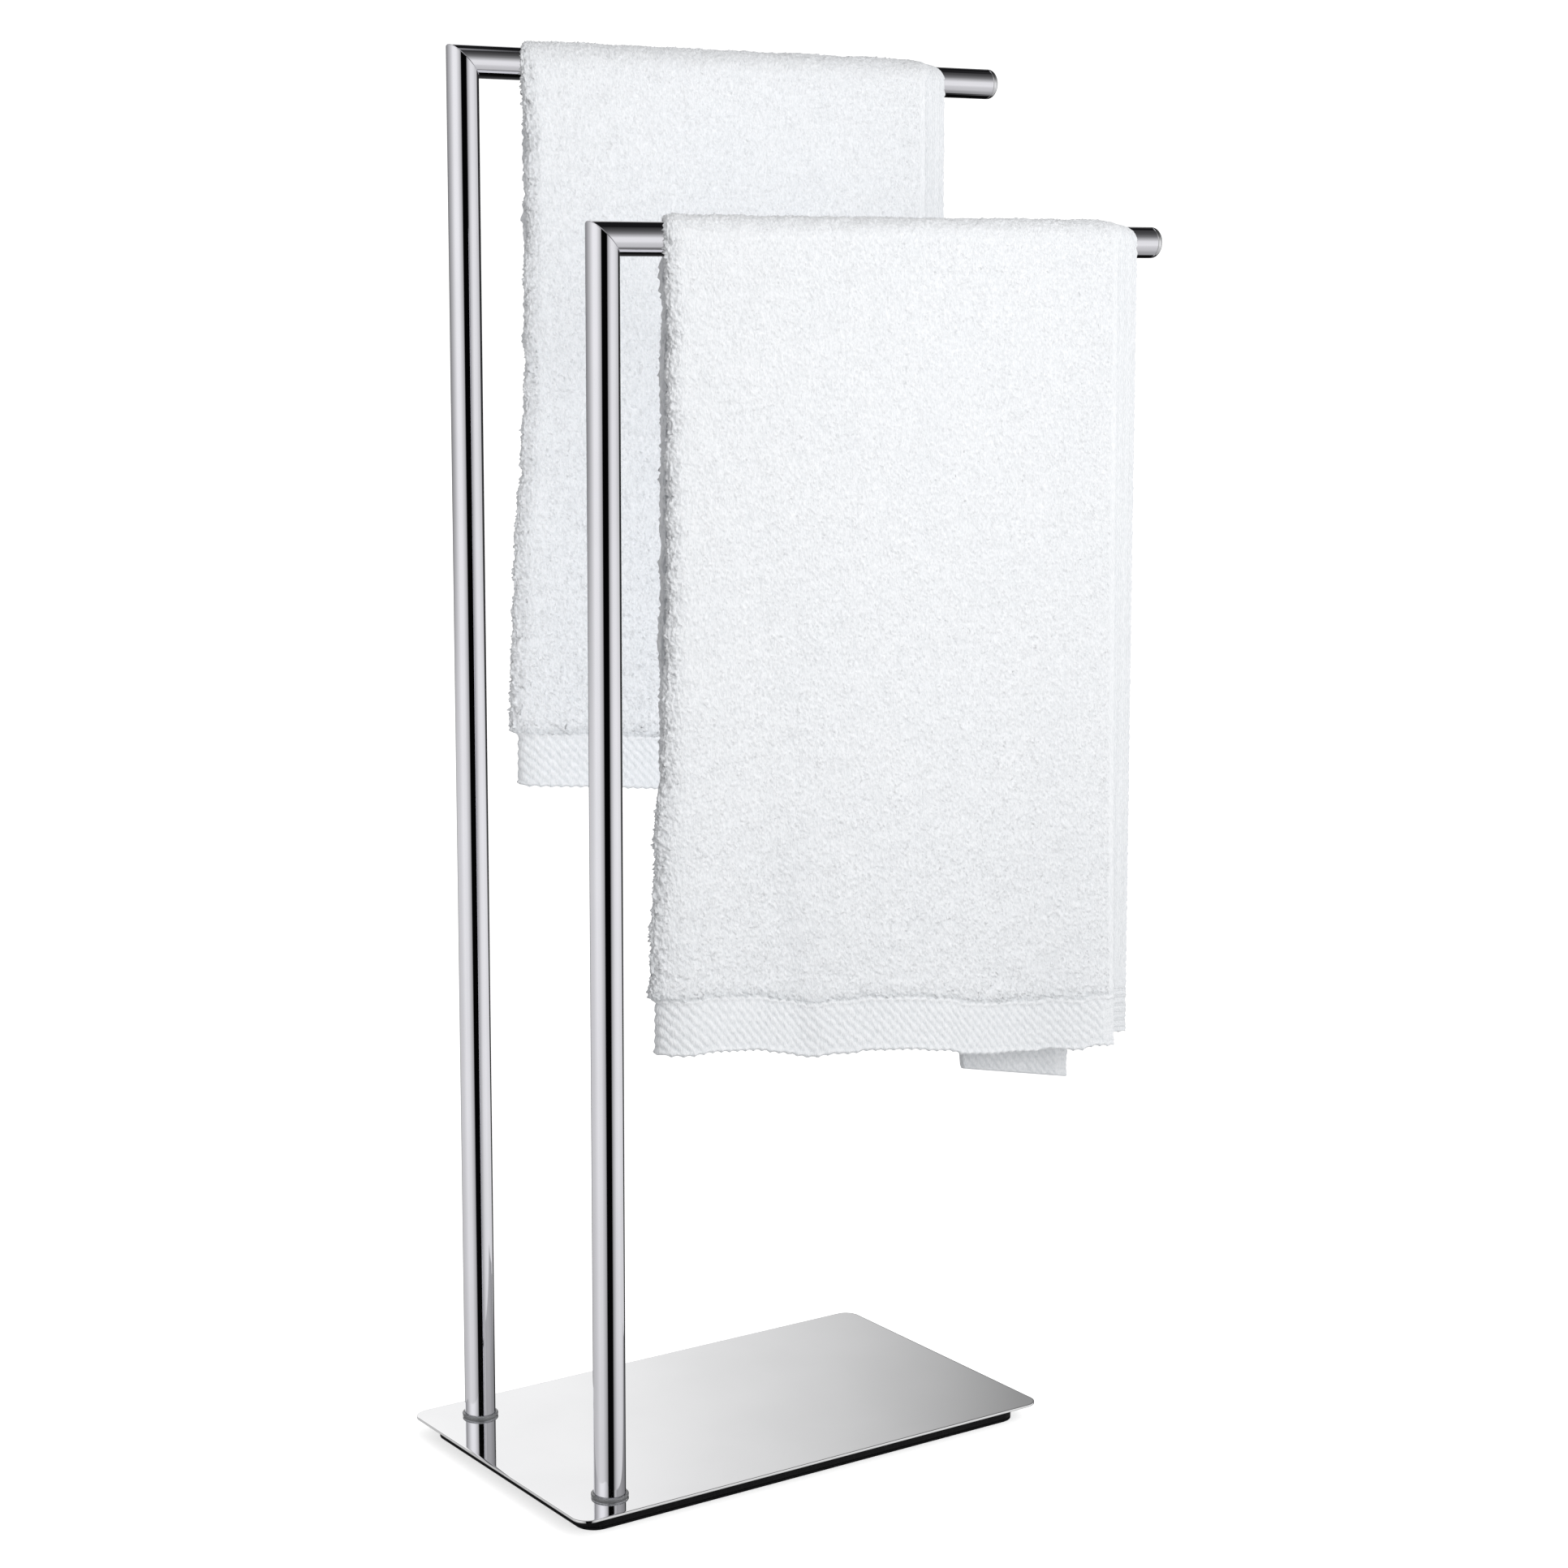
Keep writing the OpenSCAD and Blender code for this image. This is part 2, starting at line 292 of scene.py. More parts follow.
def softbox(name, at, aim, width, height, power):
    """A soft rectangular light that neither the camera nor polished metal sees."""
    data = bpy.data.lights.new(name, "AREA")
    data.shape = "RECTANGLE"
    data.size, data.size_y = width, height
    data.energy = power
    light = bpy.data.objects.new(name, data)
    bpy.context.scene.collection.objects.link(light)
    light.location = at
    light.rotation_euler = (Vector(aim) - Vector(at)).to_track_quat("-Z", "Y").to_euler()
    light.visible_camera = False
    light.visible_glossy = False


def make_lights():
    """A tall softbox in front and to the right, and a fill between the towels, so that the front one doesn't
    darken the one behind it. The studio's surround does the rest."""
    softbox("key_softbox", (0.16, -0.80, 0.74), (0.08, -0.05, 0.60), 0.5, 0.8, KEY_POWER)
    lo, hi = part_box("front_towel")
    middle = (lo + hi) / 2
    fill_y = hi.y + 12 * MM
    fill_x = middle.x - FILL_WIDER / 2
    width, height = hi.x - lo.x + FILL_WIDER, hi.z - lo.z
    at, aim = (fill_x, fill_y, middle.z), (fill_x, 1, middle.z)
    softbox("fill_softbox", at, aim, width, height, FILL_POWER)


def make_floor():
    mesh = bpy.data.meshes.new("floor")
    far = 12
    corners = [(-far, -far, 0), (far, -far, 0), (far, far, 0), (-far, far, 0)]
    mesh.from_pydata(corners, [], [(0, 1, 2, 3)])
    floor = bpy.data.objects.new("floor", mesh)
    bpy.context.scene.collection.objects.link(floor)
    floor.visible_glossy = False        # the polished parts mirror the studio's walls down to the ground
    floor.visible_diffuse = False       # and cloth is lit by the surround alone
    material, n, shader = new_material("floor_paint")
    grain = n.add("ShaderNodeTexNoise", {"Scale": 3.0, "Detail": 4.0}).outputs["Fac"]
    n.put(shader.inputs["Base Color"], n.mix(grain, (0.93, 0.93, 0.93, 1), (0.97, 0.97, 0.97, 1)))
    shader.inputs["Roughness"].default_value = 0.9
    shader.inputs["Specular IOR Level"].default_value = 0.2
    shader.inputs["Emission Color"].default_value = (1, 1, 1, 1)
    shader.inputs["Emission Strength"].default_value = FLOOR_GLOW
    mesh.materials.append(material)


# ---------------- materials


def new_material(name):
    material = bpy.data.materials.new(name)
    material.use_nodes = True
    n = Nodes(material.node_tree)
    shader = n.tree.nodes["Principled BSDF"]
    return material, n, shader


def object_point(n):
    return n.add("ShaderNodeTexCoord").outputs["Object"]


def polished(name, colour, roughness, smudge, grain=(1, 1, 1)):
    """Mirror-bright metal: faint smudges and a trace of the polishing direction in its roughness."""
    material, n, shader = new_material(name)
    point = object_point(n)
    cloud = n.add("ShaderNodeTexNoise", {"Vector": point, "Scale": 14.0, "Detail": 5.0}).outputs["Fac"]
    stretched = n.add("ShaderNodeMapping", {"Vector": point, "Scale": grain})
    line = n.add("ShaderNodeTexNoise", {"Vector": stretched.outputs[0], "Scale": 400.0, "Detail": 2.0})
    smudged = n.between(cloud, 0.35, 0.7, roughness, roughness + smudge)
    mixed = n.math("ADD", smudged, n.times(line.outputs["Fac"], 0.012))
    dull = tuple(c * 0.965 for c in colour[:3]) + (1,)
    n.put(shader.inputs["Base Color"], n.mix(n.between(cloud, 0.3, 0.75), colour, dull))
    n.put(shader.inputs["Roughness"], mixed)
    shader.inputs["Metallic"].default_value = 1.0
    return material


def painted(name, colour, lighter, roughness, scale, bump, shine=0.5, metallic=0.0):
    """Paint, rubber, film or plating: a fine speckle in colour and surface."""
    material, n, shader = new_material(name)
    point = object_point(n)
    fine = n.add("ShaderNodeTexNoise", {"Vector": point, "Scale": scale, "Detail": 3.0}).outputs["Fac"]
    broad = n.add("ShaderNodeTexNoise", {"Vector": point, "Scale": 18.0, "Detail": 4.0}).outputs["Fac"]
    n.put(shader.inputs["Base Color"], n.mix(n.between(fine, 0.4, 0.72), colour, lighter))
    n.put(shader.inputs["Roughness"], n.between(broad, 0.3, 0.7, roughness, roughness + 0.12))
    relief = n.add("ShaderNodeBump", {"Strength": bump, "Distance": 0.0004, "Height": fine})
    n.put(shader.inputs["Normal"], relief.outputs[0])
    shader.inputs["Specular IOR Level"].default_value = shine
    shader.inputs["Metallic"].default_value = metallic
    return material


def seat_ring_plastic():
    """Clear plastic, a little smoky, with a glossy coat."""
    material, n, shader = new_material("seat_ring_plastic")
    point = object_point(n)
    cloud = n.add("ShaderNodeTexNoise", {"Vector": point, "Scale": 160.0, "Detail": 3.0}).outputs["Fac"]
    n.put(shader.inputs["Base Color"], n.mix(cloud, (0.70, 0.71, 0.74, 1), (0.82, 0.83, 0.86, 1)))
    n.put(shader.inputs["Roughness"], n.between(cloud, 0.3, 0.7, 0.12, 0.2))
    shader.inputs["Transmission Weight"].default_value = 0.75
    shader.inputs["IOR"].default_value = 1.45
    shader.inputs["Coat Weight"].default_value = 0.8
    shader.inputs["Coat Roughness"].default_value = 0.06
    return material


def terry():
    """White cotton terry with a soft sheen. The loops' tips are lighter than the ground between them: shade
    painted between the loops and highlight painted on the ribs and ridge, by a mesh attribute of painted
    light and shade."""
    material, n, shader = new_material("terry")
    point = object_point(n)
    painted_shading = n.add("ShaderNodeAttribute", attribute_name="painted_shading").outputs["Fac"]
    broad = n.add("ShaderNodeTexNoise", {"Vector": point, "Scale": 26.0, "Detail": 3.0}).outputs["Fac"]
    # Painted shade: the ground between the loops is painted darker than the loops' tips.
    ground = n.mix(broad, (0.74, 0.765, 0.79, 1), (0.77, 0.795, 0.82, 1))
    tip = n.mix(broad, (0.925, 0.94, 0.965, 1), (0.955, 0.965, 0.985, 1))
    turned_by = (0, math.radians(45), 0)
    slanted = n.add("ShaderNodeMapping", {"Vector": point, "Rotation": turned_by, "Scale": (1, 1, 0.3)})
    fibre = n.add("ShaderNodeTexNoise", {
        "Vector": slanted.outputs[0], "Scale": 1100.0, "Detail": 2.0, "Roughness": 0.6,
    }).outputs["Fac"]
    flecks = n.between(fibre, 0.35, 0.65, 0.0, 0.5)
    lightness = n.math("ADD", n.times(painted_shading, 0.75), flecks)
    n.put(shader.inputs["Base Color"], n.mix(lightness, ground, tip))
    relief = n.add("ShaderNodeBump", {"Strength": 0.85, "Distance": 0.0009, "Height": fibre})
    n.put(shader.inputs["Normal"], relief.outputs[0])
    n.put(shader.inputs["Roughness"], n.between(fibre, 0.3, 0.7, 0.85, 1.0))
    shader.inputs["Specular IOR Level"].default_value = 0.1
    shader.inputs["Sheen Weight"].default_value = 0.25
    shader.inputs["Sheen Roughness"].default_value = 0.6
    return material


# ---------------- mesh helpers


def add_piece(name, points, faces, material, body, nodes=(), at=None):
    """A mesh piece that rides on a CAD body and stands for the CAD nodes it replaces."""
    mesh = bpy.data.meshes.new(name)
    mesh.from_pydata(points, [], faces)
    mesh.update()
    mesh.shade_smooth()
    mesh.set_sharp_from_angle(angle=SMOOTH_ANGLE)
    mesh.materials.append(material)
    piece = bpy.data.objects.new(name, mesh)
    bpy.context.scene.collection.objects.link(piece)
    if at is not None:
        piece.matrix_world = at
    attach(piece, body)
    if nodes:
        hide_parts(*nodes)
    return piece


ON_AXIS = 1e-7


def turned(profile, closed, mitred=()):
    """Points and faces of a profile of (radius, height), turned about Z. A point on the axis becomes one
    vertex. Rings whose number is in mitred are cut at 45 degrees: they drop towards +X."""
    points, rings, faces = [], [], []
    for i, (radius, height) in enumerate(profile):
        if radius < ON_AXIS:
            rings.append([len(points)])
            points.append((0.0, 0.0, height))
            continue
        ring = []
        for k in range(SEGMENTS):
            a = 2 * math.pi * k / SEGMENTS
            x, y = radius * math.cos(a), radius * math.sin(a)
            ring.append(len(points))
            points.append((x, y, height - x if i in mitred else height))
        rings.append(ring)
    pairs = list(zip(rings, rings[1:])) + ([(rings[-1], rings[0])] if closed else [])
    for low, high in pairs:
        for k in range(SEGMENTS):
            j = (k + 1) % SEGMENTS
            face = [low[k % len(low)], low[j % len(low)], high[j % len(high)], high[k % len(high)]]
            faces.append(list(dict.fromkeys(face)))
    return points, faces


def arc(cx, cy, radius, start, end, steps):
    """Points of a round corner, from angle start to end, in degrees."""
    out = []
    for k in range(steps + 1):
        a = math.radians(start + (end - start) * k / steps)
        out.append((cx + radius * math.cos(a), cy + radius * math.sin(a)))
    return out


# ---------------- frames

WELD_DEPTH = 0.22 * MM
WELD_HALF = 0.3 * MM
EDGE = 0.3 * MM               # chamfer of a tube's end
CAP_CROWN = 0.8 * MM
CAP_RIM = 3.0 * MM
SPIGOT_PLAY = 0.15 * MM
SPIGOT_LENGTH = 14 * MM
LYING = Matrix(((0, 0, 1), (0, -1, 0), (1, 0, 0))).to_4x4()    # turns Z along +X, and X upwards


def make_frame(which, chrome, cap_material):
    """A post and an arm, each cut at 45 degrees where they meet, with a fine groove along the weld, and the
    arm's cap."""
    post, arm = POST[which], ARM[which]
    along_arm = Matrix.Translation((post.x, arm.y, arm.z)) @ LYING
    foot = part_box(which + "_post")[0].z
    height = arm.z - foot
    profile = [
        (TUBE_R - EDGE, 0), (TUBE_R, EDGE),
        (TUBE_R, height - WELD_HALF), (TUBE_R - WELD_DEPTH, height),
        (BORE_R, height), (BORE_R, 0),
    ]
    points, faces = turned(profile, closed=True, mitred=(2, 3, 4))
    add_piece(which + "_post_tube", points, faces, chrome, "rack", [which + "_post"],
              Matrix.Translation((post.x, post.y, foot)))

    length = ARM_END[which] - post.x
    profile = [
        (TUBE_R - WELD_DEPTH, 0), (TUBE_R, WELD_HALF),
        (TUBE_R, length - EDGE), (TUBE_R - EDGE, length),
        (BORE_R, length), (BORE_R, 0),
    ]
    points, faces = turned(profile, closed=True, mitred=(0, 1, 5))
    tube = add_piece(which + "_arm_tube", points, faces, chrome, "rack", [which + "_arm"],
                     along_arm)
    tube.visible_glossy = False         # the post behind doesn't mirror the end of the arm in front

    # The cap: a stepped spigot in the tube, a round rim, and a shallow crown.
    tip = ARM_TIP[which] - post.x
    flat_r = TUBE_R - CAP_RIM
    face = tip - CAP_CROWN
    dome = [(flat_r * k / 6, tip - CAP_CROWN * (k / 6) ** 2) for k in range(7)]
    rim_arc = [(flat_r + CAP_RIM * math.sin(a), face - CAP_RIM * (1 - math.cos(a)))
               for a in map(math.radians, range(9, 91, 9))]
    spigot_r = BORE_R - SPIGOT_PLAY
    back = length - SPIGOT_LENGTH
    profile = dome + rim_arc + [
        (TUBE_R, length + EDGE), (TUBE_R - EDGE, length),
        (spigot_r, length), (spigot_r, back + MM), (spigot_r - MM, back), (0, back),
    ]
    points, faces = turned(profile[::-1], closed=False)
    add_piece(which + "_end_cap", points, faces, cap_material, "rack", [which + "_arm_cap"],
              along_arm)


def make_seat_ring(which, plastic):
    """The clear ring that a post stands in, with a round top edge."""
    lo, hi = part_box(which + "_seat_ring")
    outer = (hi.x - lo.x) / 2
    high = hi.z - lo.z
    lip = TUBE_R + 0.15 * MM
    bead = min(1.0 * MM, high / 2)
    profile = [(BORE_R, 0), (outer - 0.2 * MM, 0)]
    profile += arc(outer - bead, high - bead, bead, 0, 90, 8)
    profile += [(lip + 0.15 * MM, high), (lip, high - 0.15 * MM), (lip, 0.9 * MM), (BORE_R, 0.9 * MM)]
    points, faces = turned(profile, closed=True)
    add_piece(which + "_foot_ring", points, faces, plastic, "rack", [which + "_seat_ring"],
              Matrix.Translation((POST[which].x, POST[which].y, lo.z)))


# ---------------- base


def rounded_outline(length, width, corner, steps=16):
    """A rectangle with round corners about the origin, anticlockwise."""
    x, y = length / 2 - corner, width / 2 - corner
    out = []
    for cx, cy, start in ((x, y, 0), (-x, y, 90), (-x, -y, 180), (x, -y, 270)):
        out += arc(cx, cy, corner, start, start + 90, steps)
    return out


def slab(length, width, corner, low, high, edge, hold=1.2 * MM):
    """Points and faces of a slab whose upper and lower edges are rounded by a radius edge. A ring of faces as
    wide as hold keeps its flat sides flat."""
    levels = []
    for k in range(5):
        a = math.radians(90 * k / 4)
        levels.append((edge * (1 - math.sin(a)), low + edge * (1 - math.cos(a))))
    levels += [(inset, high - (z - low)) for inset, z in reversed(levels)]
    levels = [(hold + edge, low)] + levels + [(hold + edge, high)]
    points, rings = [], []
    for inset, z in levels:
        inner_corner = max(corner - inset, 0.5 * MM)
        outline = rounded_outline(length - 2 * inset, width - 2 * inset, inner_corner)
        rings.append(range(len(points), len(points) + len(outline)))
        points += [(x, y, z) for x, y in outline]
    faces = [list(reversed(rings[0])), list(rings[-1])]
    count = len(rings[0])
    for a, b in zip(rings, rings[1:]):
        for k in range(count):
            j = (k + 1) % count
            faces.append([a[k], a[j], b[j], b[k]])
    return points, faces


def make_base(plate_material, weight_material, pad_material):
    for node, name, corner, edge, material, slot in (
        ("base_plate", "polished_plate", 10 * MM, 0.22 * MM, plate_material, "polished_plate"),
        ("base_weight", "steel_weight", 12 * MM, 0.8 * MM, weight_material, "weight"),
        ("anti_slip_pad", "rubber_pad", 12 * MM, 0.3 * MM, pad_material, "pad"),
    ):
        lo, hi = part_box(node)
        points, faces = slab(hi.x - lo.x, hi.y - lo.y, corner, lo.z, hi.z, edge)
        add_piece(name, points, faces, material, "rack", [node])


def dress_fixings(steel, film):
    """The fixings inside the base and posts keep their CAD shapes and take a finish."""
    for name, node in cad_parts.items():
        if name.endswith(("_plug", "_screw", "_washer")) or name == "adhesive_sheet":
            node.data.materials.clear()
            node.data.materials.append(film if name == "adhesive_sheet" else steel)


# ---------------- towels

SHEET_HALF = 0.95 * MM        # half of one layer's thickness, under its loops
PRESSED = 0.65                # how far a layer is pressed thin where it bends over the arm
TILE_COUNT = 1024
TILE_STEP = 0.35 * MM


def noise_tile(seed, long, short, angle, band=2.2):
    """A square of random heights, mean 0 and deviation 1, that repeats every TILE_COUNT * TILE_STEP. Its
    grains are long by short, and lie at an angle in degrees. A higher band gives more sizes of grain."""
    white = np.random.default_rng(seed).standard_normal((TILE_COUNT, TILE_COUNT))
    f = np.fft.fftfreq(TILE_COUNT, TILE_STEP)
    fv, fu = np.meshgrid(f, f, indexing="ij")
    a = math.radians(angle)
    along = fu * math.cos(a) + fv * math.sin(a)
    across = fv * math.cos(a) - fu * math.sin(a)
    spread = 2 * math.pi ** 2 * ((along * long) ** 2 + (across * short) ** 2)
    gain = np.exp(-spread) - np.exp(-spread * band ** 2)
    tile = np.fft.ifft2(np.fft.fft2(white) * gain).real
    return (tile / tile.std()).astype(np.float32)


def look_up(tile, u, v):
    """The tile's height at (u, v) in metres, between its samples."""
    fu, fv = u / TILE_STEP, v / TILE_STEP
    iu, iv = np.floor(fu).astype(int), np.floor(fv).astype(int)
    ru, rv = fu - iu, fv - iv
    a = [tile[(iv + dv) % TILE_COUNT, (iu + du) % TILE_COUNT] for dv in (0, 1) for du in (0, 1)]
    return (a[0] * (1 - ru) + a[1] * ru) * (1 - rv) + (a[2] * (1 - ru) + a[3] * ru) * rv


def ease(lo, hi, value):
    t = np.clip((value - lo) / (hi - lo), 0, 1)
    return t * t * (3 - 2 * t)


def smooth_line(x, knots, reach):
    """A smooth curve that passes near its knots, (x, value)."""
    weights = [np.exp(-((x - at) / reach) ** 2) + 1e-9 for at, value in knots]
    return sum(w * value for w, (at, value) in zip(weights, knots)) / sum(weights)


def steps(start, end, step):
    count = max(1, int(round(abs(end - start) / step)))
    return list(np.linspace(start, end, count + 1))


class Towel:
    """A terry towel folded in half lengthwise, with the fold at the posts' side, and draped over an arm.

    The mesh is one closed sheet. A row is a loop round the folded sheet's section, and the rows run from the
    front hem, up and over the arm, down to the back hem."""

    FINE = 0.85 * MM          # between the mesh's points where it is seen
    COARSE = 7 * MM           # and where it isn't
    CLEAR = 0.3 * MM          # between the tube and the sheet
    LAYER_GAP = 1.6 * MM      # between the middles of the two layers
    LIP = 1.6 * MM            # over which a hem rounds off
    HEM_SHARE = 0.45          # of a layer's thickness, left at its hem
    BAND = 31 * MM            # height of the flat woven band above a hem
    BAND_INSET = 4.4 * MM     # of the band's fold from the drop's plain line
    RIB = 6.5 * MM            # from one diagonal rib of the band to the next, level
    RIB_SLANT = 1.05          # sideways for each unit of height
    RIB_HEIGHT = 0.95 * MM
    RIDGE_HEIGHT = 0.85 * MM  # of the ridge above the band
    SCALLOP = 1.1 * MM        # depth of the hem's scallops, one to a rib
    CORD = 1.9 * MM           # from one cord of a woven edge to the next
    LOOP_MM = 1.25            # height of the loops, in millimetres
    SPIKE_HEIGHT = 0.9 * MM   # of the loops that stand up along the fold

    def __init__(self, which, plan):
        self.which = which
        self.plan = plan
        self.seed = plan["seed"]
        arm = ARM[which]
        self.y, self.z = arm.y, arm.z
        self.mid_near = TUBE_R + self.CLEAR + PRESSED * SHEET_HALF     # middle of the inner layer
        self.mid_far = self.mid_near + self.LAYER_GAP                  # middle of the outer layer
        self.fold_r = (self.mid_far - self.mid_near) / 2               # of the fold's middle
        self.tuft = noise_tile(self.seed, 0.85 * MM, 0.42 * MM, -50)
        self.curl = noise_tile(self.seed + 1, 0.6 * MM, 0.5 * MM, 20)
        self.loop_rim = noise_tile(self.seed + 3, 0.7 * MM, 0.45 * MM, -20)
        self.cloud = noise_tile(self.seed + 2, 5 * MM, 4 * MM, 30)

    # -- rows and stations

    def make_rows(self):
        """Each row's part and share. Part 0 is the front drop, where share falls from 1 at the hem to 0 at
        the arm, part 1 the bend over the arm, and part 2 the back drop."""
        p = self.plan
        rows = []
        for part, drop, step in ((0, p["front_drop"], self.FINE), (2, p["back_drop"], 2.2 * self.FINE)):
            lip = [0, 0.15 * MM, 0.5 * MM, 1.0 * MM, 1.6 * MM]
            band = steps(2.3 * MM, self.BAND + 4 * MM, 0.75 * MM if part == 0 else 1.0 * MM)
            rest = steps(self.BAND + 4 * MM, drop, step)[1:]
            shares = [1 - d / drop for d in lip + band + rest]
            shares[-1] = 0
            rows.append([(part, s) for s in shares])
        bend = steps(0, 1, self.FINE / (math.pi * self.mid_far))[1:-1]
        all_rows = rows[0] + [(1, s) for s in bend] + rows[1][::-1]
        part = np.array([r[0] for r in all_rows])[:, None]
        self.front, self.bent, self.back = part == 0, part == 1, part == 2
        self.share = np.array([r[1] for r in all_rows])[:, None]

    def make_stations(self):
        """The stations of a row's loop: (layer, s, turn, side, roll). layer 1 is the outer, 2 the inner, 0
        the fold. s is the share of the layer's width, from the fold to its open edge. turn is the angle of
        the sheet's outer side from straight out of the drop. side is 1 on the sheet's outer face and -1 on
        the face inside the fold. roll is the angle round an open edge, and 0 off the edge."""
        p = self.plan
        width = p["width"]
        fine = self.FINE / width
        coarse = self.COARSE / width
        edge = 20 * MM / width
        turns = list(np.linspace(0, 180, 17))[1:-1]
        flat_x = p["x0"] + p["back_inset"] + SHEET_HALF + self.fold_r
        corner = (p["corner_x"] - flat_x) / (p["x1"] - p["back_short"] - flat_x)
        near_fine = min(0.93, corner - 16 * MM / width)

        def hidden(end):
            """Shares from the fold to end: coarse, but fine at the low corner of the back drop."""
            if corner > end:
                return steps(0, end, coarse)
            around = 13 * MM / width
            start, stop = corner - around, corner + around
            return (steps(0, start, coarse) + steps(start, stop, fine)[1:] + steps(stop, end, coarse)[1:])

        loop = [(1, s, 0, 1, 0) for s in steps(1, 10 * fine, fine)]
        loop += [(1, s, 0, 1, 0) for s in steps(10 * fine, 0, 0.6 * fine)[1:]]
        loop += [(0, 0, t, 1, 0) for t in turns]
        near = steps(0, near_fine, coarse) + steps(near_fine, 1, fine * 1.3)[1:]
        loop += [(2, s, 180, 1, 0) for s in near]
        loop += [(2, 1.0, 180, 1, a) for a in (45, 90, 135)]
        loop += [(2, s, 180, -1, 0) for s in steps(1, 1 - edge, fine) + hidden(1 - edge)[::-1][1:]]
        loop += [(0, 0, t, -1, 0) for t in (135, 90, 45)]
        loop += [(1, s, 0, -1, 0) for s in hidden(1)]
        loop += [(1, 1.0, 0, 1, a) for a in (135, 90, 45)]
        table = np.array(loop, float)
        self.layer, self.s, self.turn, self.side, self.roll = (table[None, :, k] for k in range(5))

    # -- the cloth's plan

    def lines(self):
        """Where the fold and the open edges lie at each row. Returns X of each row and station."""
        p = self.plan
        self.depth = depth = np.where(self.bent, 0, self.share)
        self.bend = bend = np.where(self.bent, self.share, np.where(self.back, 1.0, 0.0))
        self.over = over = np.sin(bend * math.pi)
        self.front_depth = front_depth = np.where(self.front, depth, 0)

        # The fold: a soft waist in the drop, set in at the band, and uneven all along.
        above_hem = (1 - depth) * p["front_drop"]
        in_band = ease(self.BAND + 2.5 * MM, self.BAND, above_hem) * np.where(self.bent, 0, 1)
        in_back = p["back_inset"] * (1 - np.cos(bend * math.pi)) / 2
        fold_x = p["x0"] - p["spread_folded"] * front_depth + in_back
        waist = smooth_line(depth, p["waist"], 0.06) * np.where(self.back, 0, 1 - bend)
        down = np.cumsum(0 * self.share + self.FINE, 0)
        uneven = 0.45 * MM * look_up(self.cloud, 0 * down, down)
        uneven = uneven + 0.2 * MM * look_up(self.cloud, 0 * down, 2.7 * down)
        self.fold_x = fold_x + waist + (self.BAND_INSET - waist) * in_band + uneven * (1 - in_band)

        # The open edges: the inner layer stands out beyond the outer one as a strip.
        edge_x = p["x1"] + p["spread_open"] * front_depth - p["neck"] * over ** 4
        shorter = np.where(self.back, 0.5 + 0.5 * ease(0, 0.5, depth), 0.5)
        edge_x = edge_x - p["back_short"] * ease(0.5, 1.0, bend) * shorter
        strip = p["strip"] + 1 * MM * front_depth - p["strip_over"] * over
        narrowed = strip + (p["back_strip"] - strip) * ease(0.5, 1, bend)
        strip = np.where(self.back, p["back_strip"], np.where(self.bent, narrowed, strip))
        down = np.cumsum(0 * self.share + 0.8 * MM, 0)
        ragged = look_up(self.curl, 3 * MM + 0 * self.s + self.layer * 40 * MM, down)
        open_x = np.where(self.layer == 1, edge_x - strip, edge_x) + 0.28 * MM * ragged

        self.flat_x = self.fold_x + SHEET_HALF + self.fold_r
        x = self.flat_x + self.s * (open_x - self.flat_x)
        self.from_edge = open_x - x
        return x

    def hem(self, x):
        """Height of the hems over the arm's axis, below 0, at x."""
        p = self.plan
        t = (x - p["x0"]) / (p["x1"] - p["x0"])
        front = -p["front_drop"] - p["front_fall"] * t
        front = front + smooth_line(x, p["hem_line"], 11 * MM)
        front = front + p["wave"] * np.sin(t * 13 + self.seed)
        scallop = self.SCALLOP * np.abs(np.sin(math.pi * x / self.RIB))
        front = front + np.where(self.side > 0, scallop, 1.2 * MM)
        front = np.where(self.layer == 2, front + p["inner_short"], front)
        back = -p["back_drop"] - p["back_fall"] * t
        past = x - p["corner_x"] + np.where(self.layer == 1, -1.5 * MM, 2 * MM)
        lower = p["corner_drop"] + p["corner_slope"] * np.maximum(past, 0)
        back = back - ease(-2 * MM, 2 * MM, past) * lower
        return np.where(self.back, back, front)

    def sway(self, x, z):
        """How far the drops stand out from their plane: soft folds that grow towards the hems."""
        p = self.plan
        below = np.clip(-z / p["front_drop"], 0, 1.2)
        out = np.zeros_like(x)
        for cx, width, amount, power in p["folds"]:
            out = out + amount * np.exp(-((x - cx) / width) ** 2) * below ** power
        for cx, cz, dx, dz, width, depth in p["creases"]:
            length = math.hypot(dx, dz)
            along = ((x - cx) * dx + (z - cz) * dz) / length
            across = ((x - cx) * dz - (z - cz) * dx) / length
            fade = ease(0, 25 * MM, along) * ease(length + 30 * MM, length - 10 * MM, along)
            out = out - depth * np.exp(-(across / width) ** 2) * fade
        back_wave = 5 * MM * below ** 1.3 * np.sin((x - p["x0"]) / (38 * MM) + 2.0 * below)
        back_wave = back_wave + 2 * MM * below * np.sin((x - p["x0"]) / (17 * MM) - 1.5 * below)
        back_wave = back_wave * (1 - ease(p["corner_x"] - 80 * MM, p["corner_x"] - 30 * MM, x))
        return np.where(self.back, back_wave, np.where(self.front, out, 0))

    # -- the surface

    def build(self, material):
        self.make_rows()
        self.make_stations()
        p = self.plan
        shape = (len(self.share), self.s.shape[1])
        x_mid = self.lines() + np.zeros(shape)
        front, back, bent, over = self.front, self.back, self.bent, self.over
        on_fold = self.layer == 0
        turn = np.radians(self.turn)
        fold_r = self.fold_r
        x_mid = np.where(on_fold, self.fold_x + SHEET_HALF + fold_r * (1 - np.sin(turn)), x_mid)
